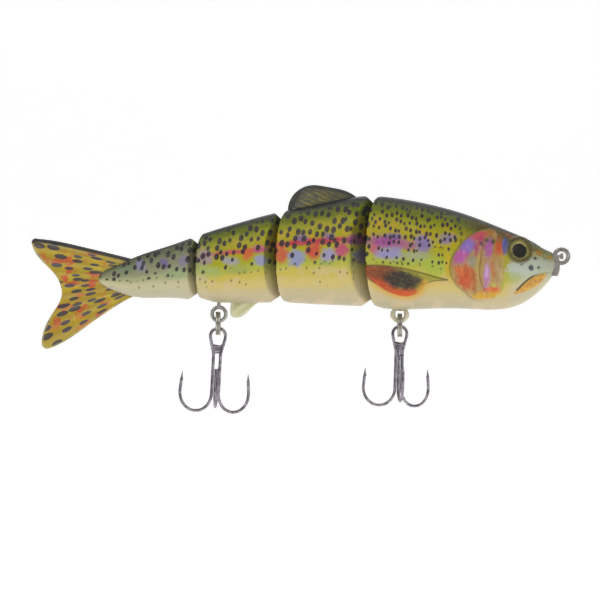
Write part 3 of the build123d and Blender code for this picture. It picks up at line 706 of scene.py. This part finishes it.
    # Faces in the joints are the same colours under painted shade: darker where they turn in between the
    # segments, most of all above the belly.
    joint_shade = p.mix(p.step(height, 0.22, 0.50), srgb("9a9272"), srgb("262d2c"))
    shaded_joint_colour = p.mix(p.scaled(fine, 0.3, 0.42), colour, joint_shade)
    colour = p.mix(p.attribute("skin"), shaded_joint_colour, colour)
    colour = p.mix(p.times(p.step(fine, 0.35, 0.75), 0.07), colour, srgb("d6cfa6"))

    p.put(p.shader.inputs["Base Color"], colour)
    scales = p.cells(p.place((1, 1.15, 1), (0, 0, 0.78), source=flat), 1.05, 0.18, "SMOOTH_F1")
    relief = p.math("ADD", p.times(scales.outputs["Distance"], p.step(along, 36, 46)),
                    p.times(fine, 0.25))
    p.bump(relief, 0.14, 0.0002)
    p.put(p.shader.inputs["Roughness"], p.scaled(wander, 0.12, 0.32))
    p.set(Coat_Weight=0.12, Coat_Roughness=0.2, Specular_IOR_Level=0.18)
    return p.material


# ---------------------------------------------------------------- fins

DORSAL_EDGE = [(-76.2, 21.7), (-80.5, 24.4), (-87.9, 26.1), (-94.6, 26.6),
               (-97.4, 25.6), (-99.4, 22.4), (-102.6, 16.9)]
ANAL_EDGE = [(-112.0, -16.8), (-117.3, -20.7), (-121.2, -23.1), (-123.6, -22.6),
             (-124.2, -20.2), (-123.8, -17.0)]
TAIL_EDGE = [
    (-158.5, -1.6), (-165.5, 0.2), (-178.0, 3.2), (-190.5, 5.9), (-196.4, 6.6), (-198.2, 6.3), (-198.6, 4.6),
    (-194.4, -2.2), (-188.9, -8.4), (-187.4, -14.6), (-190.9, -21.4), (-194.2, -28.2), (-194.9, -32.4),
    (-194.0, -34.4), (-192.0, -34.6), (-187.4, -32.6), (-176.5, -25.2), (-166.5, -18.4), (-158.5, -14.2),
]
TAIL_ROOT = [(-154.6, -12.4), (-154.6, -3.4)]
TAIL_FAN = (-146.0, -7.2)


def fin_sheet(node, edge, top_count, ray_origin, ray_count, ridge):
    """A fin that thins to its edge and carries fine raised rays that fan out from one point."""
    obj = stand_in(node, node + "_sheet", FIN_VOXEL, 2)
    mesh = obj.data
    points = coordinates(mesh) / MM
    side = points[:, [0, 2]]
    to_edge = distance_to_line(side, edge)
    from_fan = side - np.array(ray_origin)
    angle = np.arctan2(from_fan[:, 1], -from_fan[:, 0])
    reach = np.hypot(*from_fan.T)
    phase = angle * ray_count
    proud = ridge * np.sin(phase) * smooth_step(to_edge, 0.2, 1.4)
    thin = 0.42 + 0.58 * smooth_step(to_edge, 0.0, 4.5)
    on_face = smooth_step(np.abs(points[:, 1]), 0.25, 0.45)
    points[:, 1] = points[:, 1] * thin + np.sign(points[:, 1]) * proud * on_face
    put_coordinates(mesh, points)
    for name, values in (("to_edge", to_edge), ("to_top", distance_to_line(side, edge[:top_count])),
                         ("ray_phase", np.sin(phase)), ("ray_angle", angle), ("ray_reach", reach)):
        set_attribute(mesh, name, values)
    return obj


def tail_fin_paint():
    """Golden fin with dark dashes along its rays, red-orange patches and a dark upper edge."""
    p = Paint("tail_fin_paint")
    x, _, z = p.separate(p.in_mm())
    flat = p.combine(x, z, 0.0)
    angle, reach = p.attribute("ray_angle"), p.attribute("ray_reach")
    wander = p.noise(flat, 0.12, 2.0)
    colour = p.mix(wander, srgb("b09a0a"), srgb("a88c1a"))
    yellow = p.step(p.noise(flat, 0.11, 1.0), 0.50, 0.62)
    colour = p.mix(p.times(yellow, 0.7), colour, srgb("bca40c"))
    middle = p.times(p.step(reach, 20, 30), p.step(p.math("ABSOLUTE", p.math("ADD", z, 13.0)), 17, 11))
    patches = p.step(p.noise(p.place((0.8, 1.3, 1), source=flat), 0.26, 3.0, 0.6), 0.49, 0.60)
    red = p.times(p.times(middle, patches), 0.85)
    colour = p.mix(red, colour, srgb("c43c1c"))
    ray_line = p.scaled(p.attribute("ray_phase"), 0.5, 0.5)
    colour = p.mix(p.times(ray_line, 0.22), colour, srgb("7c5a20"))
    polar = p.combine(p.times(angle, 16.0), p.times(reach, 0.145), 0.0)
    dashes = p.cells(polar, 1.0, 0.75)
    pick = p.separate(dashes.outputs["Color"])
    dash_size = p.scaled(pick[0], 0.14, 0.25)
    dash = p.math("SUBTRACT", dash_size, dashes.outputs["Distance"])
    dash = p.times(p.step(dash, -0.01, 0.06), p.math("GREATER_THAN", pick[1], 0.08))
    dash = p.times(dash, p.step(reach, 11, 15))
    colour = p.mix(p.times(dash, 0.90), colour, srgb("2b2a3c"))
    rim = p.step(p.attribute("to_edge"), 0.8, 0.3)
    colour = p.mix(p.times(rim, 0.55), colour, srgb("b8ab78"))
    top_line = p.step(p.attribute("to_top"), 1.75, 1.15)
    colour = p.mix(p.times(top_line, 0.95), colour, srgb("191d28"))
    base = p.step(reach, 17, 10)
    colour = p.mix(p.times(base, 0.75), colour, srgb("8e8e72"))
    p.put(p.shader.inputs["Base Color"], colour)
    p.put(p.shader.inputs["Roughness"], p.scaled(wander, 0.15, 0.30))
    p.bump(p.noise(flat, 1.2, 3.0), 0.12, 0.0002)
    p.set(Coat_Weight=0.6, Coat_Roughness=0.12, Specular_IOR_Level=0.4)
    return p.material


def dorsal_fin_paint():
    p = Paint("dorsal_fin_paint")
    x, _, z = p.separate(p.in_mm())
    flat = p.combine(x, z, 0.0)
    streaks = p.scaled(p.attribute("ray_phase"), 0.5, 0.5)
    polar = p.combine(p.times(p.attribute("ray_angle"), 24.0), p.times(p.attribute("ray_reach"), 0.25), 0.0)
    broken = p.times(streaks, p.step(p.noise(polar, 1.0, 2.0), 0.38, 0.62))
    broken = p.times(broken, p.step(p.attribute("to_edge"), 0.9, 2.4))
    colour = p.mix(p.noise(flat, 0.3, 2.0), srgb("34342c"), srgb("4c4a2a"))
    colour = p.mix(p.times(broken, 0.85), colour, srgb("93871c"))
    rim = p.step(p.attribute("to_edge"), 1.3, 0.4)
    colour = p.mix(p.times(rim, 0.8), colour, srgb("2b2c2c"))
    p.put(p.shader.inputs["Base Color"], colour)
    p.put(p.shader.inputs["Roughness"], p.scaled(p.noise(flat, 0.8, 2.0), 0.2, 0.28))
    p.bump(p.noise(flat, 1.5, 3.0), 0.12, 0.0002)
    p.set(Coat_Weight=0.6, Coat_Roughness=0.12)
    return p.material


def anal_fin_paint():
    p = Paint("anal_fin_paint")
    flat = p.in_mm()
    streaks = p.scaled(p.attribute("ray_phase"), 0.5, 0.5)
    colour = p.mix(p.noise(flat, 0.25, 2.0), srgb("c9c79c"), srgb("bdbb7c"))
    colour = p.mix(p.times(streaks, 0.35), colour, srgb("dcd9bc"))
    rim = p.step(p.attribute("to_edge"), 1.4, 0.3)
    colour = p.mix(p.times(rim, 0.5), colour, srgb("d8d8c4"))
    p.put(p.shader.inputs["Base Color"], colour)
    p.put(p.shader.inputs["Roughness"], p.scaled(p.noise(flat, 0.8, 2.0), 0.2, 0.25))
    p.bump(p.noise(flat, 1.5, 3.0), 0.12, 0.0002)
    p.set(Coat_Weight=0.5, Coat_Roughness=0.12, Subsurface_Weight=0.2)
    p.shader.inputs["Subsurface Radius"].default_value = (0.0015, 0.0015, 0.001)
    return p.material


# ---------------------------------------------------------------- eyes

def eye_foil_paint():
    """Black pupil, pale inner ring and a gold outer ring, printed on foil with fine radial lines."""
    p = Paint("eye_foil_paint")
    low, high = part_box("eye_disc_right")
    centre = (low + high) / 2
    x, y, z = p.separate(p.object_place)
    across = p.math("SUBTRACT", p.math("ABSOLUTE", y), abs(centre.y))
    along = p.math("SUBTRACT", x, centre.x)
    up = p.math("SUBTRACT", z, centre.z)
    square = p.math("ADD", p.times(along, along), p.times(up, up))
    square = p.math("ADD", square, p.times(across, across))
    radius = p.times(p.math("SQRT", square), 1000)
    angle = p.math("ARCTAN2", up, along)
    spokes = p.noise(p.combine(p.times(angle, 9.0), p.times(radius, 0.5), 0.0), 1.0, 3.0)
    colour = p.ramp(p.math("DIVIDE", radius, 4.4), [
        (0.0, srgb("060607")), (0.585, srgb("0a0a0b")), (0.635, srgb("dcd69a")), (0.72, srgb("d8ca70")),
        (0.84, srgb("b8a84e")), (0.95, srgb("94904e")), (1.0, srgb("62603c")),
    ], smooth=False)
    in_ring = p.step(radius, 2.7, 2.9)
    colour = p.mix(p.times(p.times(spokes, in_ring), 0.35), colour, srgb("a8a24c"))
    p.put(p.shader.inputs["Base Color"], colour)
    p.put(p.shader.inputs["Metallic"], p.times(in_ring, 0.15))
    p.put(p.shader.inputs["Roughness"], p.scaled(spokes, 0.2, 0.25))
    p.bump(spokes, 0.1, 0.0001)
    return p.material


def clear_lens():
    p = Paint("clear_lens")
    place = p.place((900, 900, 900))
    p.put(p.shader.inputs["Roughness"], p.scaled(p.noise(place, 0.4, 2.0), 0.03, 0.01))
    p.put(p.shader.inputs["Base Color"], p.mix(p.noise(place, 0.2, 1.0), srgb("fbfaf4"), srgb("ffffff")))
    p.set(Transmission_Weight=1.0, IOR=1.2)
    return p.material


# ---------------------------------------------------------------- metal

def plated(name, dark, light, roughness, wear=0.0, wear_colour="8a8582"):
    """Plated wire with faint drawing lines, cloudy tone and worn high spots."""
    p = Paint(name)
    place = p.in_mm()
    cloud = p.noise(place, 0.55, 4.0)
    fine = p.noise(place, 3.2, 3.0)
    colour = p.mix(p.step(cloud, 0.35, 0.65), srgb(dark), srgb(light))
    if wear:
        worn = p.times(p.step(fine, 0.56, 0.70), wear)
        colour = p.mix(worn, colour, srgb(wear_colour))
    p.put(p.shader.inputs["Base Color"], colour)
    p.put(p.shader.inputs["Roughness"], p.scaled(cloud, 0.22, roughness))
    p.set(Metallic=1.0)
    p.bump(fine, 0.10, 0.0001)
    return p.material


def painted_metal(name, base, second, roughness):
    p = Paint(name)
    place = p.in_mm()
    cloud = p.noise(place, 0.6, 3.0)
    colour = p.mix(p.step(cloud, 0.35, 0.65), srgb(base), srgb(second))
    chips = p.step(p.noise(place, 1.6, 4.0), 0.66, 0.70)
    colour = p.mix(p.times(chips, 0.6), colour, srgb("77736c"))
    p.put(p.shader.inputs["Base Color"], colour)
    p.put(p.shader.inputs["Roughness"], p.scaled(cloud, 0.15, roughness))
    p.set(Coat_Weight=0.4, Coat_Roughness=0.15)
    p.bump(p.noise(place, 2.0, 3.0), 0.15, 0.0002)
    return p.material


def give(node, material):
    obj = NODES[node]
    obj.data.materials.clear()
    obj.data.materials.append(material)
    smooth_shade(obj)
    crisp = obj.modifiers.new("crisp_edges", "EDGE_SPLIT")
    crisp.split_angle = math.radians(35)


# ---------------------------------------------------------------- build

paint = trout_paint()
for segment in ("head", "mid", "rear", "tail"):
    for hand in ("right", "left"):
        shell = stand_in(f"{segment}_shell_{hand}", f"{segment}_skin_{hand}", SHELL_VOXEL, 2)
        shape_shell(shell, segment == "head")
        shell.data.materials.append(paint)

tail_fin = fin_sheet("tail_fin", [TAIL_ROOT[1], *TAIL_EDGE, TAIL_ROOT[0]], 7, TAIL_FAN, 62, 0.10)
tail_fin.data.materials.append(tail_fin_paint())
dorsal = fin_sheet("dorsal_fin", DORSAL_EDGE, 5, (-58.0, 8.0), 150, 0.08)
dorsal.data.materials.append(dorsal_fin_paint())
anal = fin_sheet("anal_fin", ANAL_EDGE, 3, (-104.0, -8.0), 40, 0.07)
anal.data.materials.append(anal_fin_paint())

foil, lens = eye_foil_paint(), clear_lens()
for hand in ("right", "left"):
    give(f"eye_disc_{hand}", foil)
    give(f"eye_lens_{hand}", lens)

nickel = plated("nickel_plate", "8b8880", "b4b1a8", 0.2)
black_nickel = plated("black_nickel_plate", "6e6772", "a09aa2", 0.14, 0.5, "cbc6c6")
steel = plated("bright_wire", "8c8a86", "b5b3ae", 0.25)
lead = plated("ballast_steel", "55565a", "77787c", 0.45)
hanger_paint = painted_metal("painted_hanger", "d2cab0", "bdb596", 0.40)
plate_paint = painted_metal("nose_plate_paint", "77716e", "8b8580", 0.45)

give("nose_plate", plate_paint)
hanger_loop().data.materials.append(hanger_paint)
braze_web("front_treble_double", "front_hook", -32.6, 4.6, 0.575).data.materials.append(black_nickel)
braze_web("rear_treble_double", "rear_hook", -33.6, 2.6, 0.6).data.materials.append(black_nickel)
for node in ("nose_ring", "front_ring", "rear_ring"):
    give(node, nickel)
for node in ("front_treble_double", "front_treble_single", "rear_treble_double", "rear_treble_single"):
    give(node, black_nickel)
for node in ("head_ballast", "mid_ballast", "rear_ballast"):
    give(node, lead)
for node in NODES:
    if node.endswith(("_eyelet_upper", "_eyelet_lower", "_pin", "_pin_upper", "_pin_lower")):
        give(node, steel)
for node in ("line_tie", "rear_hook_hanger"):
    give(node, steel)

# ---------------------------------------------------------------- studio

FLOOR_Z = -0.14
MIDDLE = Vector((-0.098, 0.0, -0.0164))
CAMERA_DISTANCE = 1.25


def studio_paint():
    p = Paint("pale_floor")
    place = p.place((1, 1, 1))
    p.put(p.shader.inputs["Base Color"], p.mix(p.noise(place, 2.0, 2.0), srgb("fbfbfa"), srgb("ffffff")))
    p.put(p.shader.inputs["Roughness"], p.scaled(p.noise(place, 4.0, 2.0), 0.1, 0.8))
    p.set(Emission_Color=(1, 1, 1, 1), Emission_Strength=0.45)
    return p.material


def sweep_backdrop(floor_z):
    """A pale floor that curves up into a wall behind, seamless in the middle."""
    line = [(-3.0, floor_z)]
    radius = 0.9
    for step in range(25):
        turn = math.pi / 2 * step / 24
        line.append((1.6 + radius * math.sin(turn), floor_z + radius - radius * math.cos(turn)))
    line.append((1.6 + radius, floor_z + 3.5))
    mesh = bpy.data.meshes.new("backdrop")
    verts = [(x, y, z) for x in (-4.0, 4.0) for y, z in line]
    count = len(line)
    faces = [(i, i + 1, count + i + 1, count + i) for i in range(count - 1)]
    mesh.from_pydata(verts, [], faces)
    obj = bpy.data.objects.new("backdrop", mesh)
    bpy.context.scene.collection.objects.link(obj)
    smooth_shade(obj)
    mesh.materials.append(studio_paint())


def area_light(name, place, size, watts):
    light = bpy.data.lights.new(name, "AREA")
    light.shape = "RECTANGLE"
    light.size, light.size_y = size
    light.energy = watts
    obj = bpy.data.objects.new(name, light)
    bpy.context.scene.collection.objects.link(obj)
    obj.location = place
    obj.rotation_euler = (MIDDLE - Vector(place)).to_track_quat("-Z", "Y").to_euler()


sweep_backdrop(FLOOR_Z)
area_light("key", (-0.35, -0.9, 0.75), (0.9, 0.7), 3.4)
area_light("fill", (0.7, -0.8, 0.15), (0.8, 0.8), 1.6)
area_light("top", (-0.1, 0.1, 1.0), (1.2, 0.9), 2.5)
area_light("rim", (-0.5, 0.9, 0.5), (0.9, 0.7), 1.5)

world = bpy.data.worlds.new("studio")
world.use_nodes = True
world.node_tree.nodes["Background"].inputs[0].default_value = (1, 1, 1, 1)
world.node_tree.nodes["Background"].inputs[1].default_value = 0.35
bpy.context.scene.world = world
bpy.context.scene.view_settings.view_transform = "Standard"

camera_data = bpy.data.cameras.new("camera")
camera_data.lens = 200
camera_data.sensor_width = 36
camera_data.clip_start = 0.01
camera = bpy.data.objects.new("camera", camera_data)
bpy.context.scene.collection.objects.link(camera)
camera.location = MIDDLE + Vector((0, -CAMERA_DISTANCE, 0))
camera.rotation_euler = (math.pi / 2, 0, 0)
bpy.context.scene.camera = camera
